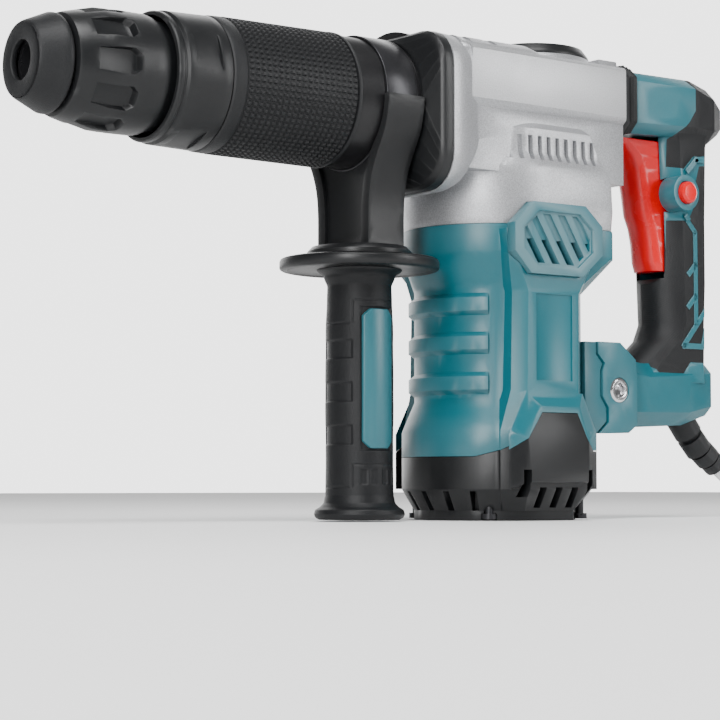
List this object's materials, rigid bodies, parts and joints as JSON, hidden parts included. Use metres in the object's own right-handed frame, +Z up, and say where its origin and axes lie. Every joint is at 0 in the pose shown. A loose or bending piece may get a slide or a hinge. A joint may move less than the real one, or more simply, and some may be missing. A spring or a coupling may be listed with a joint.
{
  "type": "demolition hammer",
  "caption": "Two-handed electric demolition hammer with chuck, barrel, side handle, gear housing, upright motor and sprung rear handle with trigger.",
  "frame": {"origin": "middle of the footprint's box at the base of the motor, on the floor, without the cord", "axes": "-X towards the nose along the hammer axis, +X towards the rear handle, -Y the operator's left flank, +Z up along the motor"},
  "size_m": [0.6936, 0.136, 0.2552],
  "materials": {
    "grey_paint": "fine-grained silver paint on cast aluminium",
    "teal_plastic": "satin",
    "black_plastic": "satin",
    "black_rubber": "matt, textured",
    "red_plastic": "gloss",
    "blackened_steel": "black oxide",
    "steel": "ground",
    "bright_steel": "plated",
    "dark_alloy": "black anodised",
    "copper": "enamelled copper wire and bars",
    "lamination": "laminated core",
    "carbon": "sintered carbon",
    "brass": "satin",
    "nylon": "satin"
  },
  "bodies": {
    "machine": {"barrel": "dark_alloy", "barrel_grip": "black_rubber", "cylinder": "steel", "piston": "dark_alloy", "piston_pin": "steel", "connecting_rod": "steel", "crankshaft": "steel", "bearings": "bright_steel", "stator": "lamination", "field_coils": "copper", "brush_holders": "brass", "carbon_brushes": "carbon", "motor_housing": "teal_plastic", "end_cover": "black_plastic", "case_screws": "blackened_steel", "vent_panels": "teal_plastic", "gear_housing": "grey_paint", "front_bezel": "black_plastic", "gear_plate": "dark_alloy", "crank_cap": "black_plastic", "handle_bracket": "teal_plastic", "pivot_bush": "steel", "handle_boot": "black_rubber", "damper_spring": "steel"},
    "armature": {"armature_shaft": "steel", "armature_core": "lamination", "armature_windings": "copper", "commutator": "copper", "fan": "nylon"},
    "crank_gear": {"crank_gear": "steel"},
    "chuck": {"tool_holder": "blackened_steel", "locking_rollers": "steel", "dust_cap": "black_rubber", "chuck_spring": "steel", "chuck_washers": "steel"},
    "locking_sleeve": {"chuck_cover": "black_plastic"},
    "change_ring": {"change_ring": "black_plastic"},
    "impact_bolt": {"impact_bolt": "steel"},
    "striker": {"striker": "steel"},
    "handle_fork": {"handle_yoke": "black_plastic", "clamp_band": "blackened_steel", "tie_bolt": "blackened_steel"},
    "side_grip": {"side_grip_core": "black_plastic", "side_grip_rubber": "black_rubber", "side_grip_inlays": "teal_plastic"},
    "rear_handle": {"handle_shell_left": "teal_plastic", "handle_shell_right": "teal_plastic", "grip_cover": "black_rubber", "pivot_bolt": "bright_steel", "trigger_pin": "steel", "switch_module": "black_plastic", "handle_screws": "blackened_steel", "strain_relief": "black_rubber", "power_cord": "black_rubber", "cord_coil": "black_rubber", "cable_tie": "black_plastic", "plug_body": "black_rubber", "plug_pins": "bright_steel"},
    "trigger": {"trigger": "red_plastic"},
    "lock_button": {"lock_button": "red_plastic"}
  },
  "joints": [
    {"name": "chuck_turn", "type": "hinge", "parent": "machine", "child": "chuck", "pos_m": [-0.163, 0, 0.213], "axis": [1, 0, 0], "continuous": true},
    {"name": "sleeve_pull", "type": "slide", "parent": "chuck", "child": "locking_sleeve", "axis": [1, 0, 0], "range_m": [0, 0.01], "stiffness_N_per_m": 900, "deforming": ["chuck_spring"]},
    {"name": "ring_shift", "type": "slide", "parent": "chuck", "child": "change_ring", "axis": [-1, 0, 0], "range_m": [0, 0.004]},
    {"name": "impact_bolt_slide", "type": "slide", "parent": "machine", "child": "impact_bolt", "axis": [1, 0, 0], "range_m": [-0.0015, 0.003]},
    {"name": "striker_slide", "type": "slide", "parent": "machine", "child": "striker", "axis": [1, 0, 0], "range_m": [-0.002, 0.02]},
    {"name": "side_handle_swing", "type": "hinge", "parent": "machine", "child": "handle_fork", "pos_m": [-0.028, 0, 0.213], "axis": [1, 0, 0], "continuous": true},
    {"name": "side_grip_turn", "type": "hinge", "parent": "handle_fork", "child": "side_grip", "pos_m": [-0.028, 0, 0.1], "axis": [0, 0, 1], "continuous": true},
    {"name": "rear_handle_rock", "type": "hinge", "parent": "machine", "child": "rear_handle", "pos_m": [0.1263, 0, 0.0696], "axis": [0, 1, 0], "range_deg": [-1.5, 0.5], "stiffness_Nm_per_rad": 500, "deforming": ["handle_boot", "damper_spring"]},
    {"name": "trigger_pull", "type": "hinge", "parent": "rear_handle", "child": "trigger", "pos_m": [0.182, 0, 0.204], "axis": [0, -1, 0], "range_deg": [0, 6], "stiffness_Nm_per_rad": 1.2},
    {"name": "lock_button_press", "type": "slide", "parent": "rear_handle", "child": "lock_button", "axis": [0, 1, 0], "range_m": [0, 0.003], "stiffness_N_per_m": 600},
    {"name": "armature_spin", "type": "hinge", "parent": "machine", "child": "armature", "pos_m": [0.064, 0, 0.08], "axis": [0, 0, 1], "continuous": true},
    {"name": "crank_gear_spin", "type": "hinge", "parent": "machine", "child": "crank_gear", "pos_m": [0.0898, 0, 0.146], "axis": [0, 0, 1], "continuous": true}
  ],
  "couplings": [
    {"joint": "crank_gear_spin", "follows": "armature_spin", "ratio": -0.30303}
  ]
}
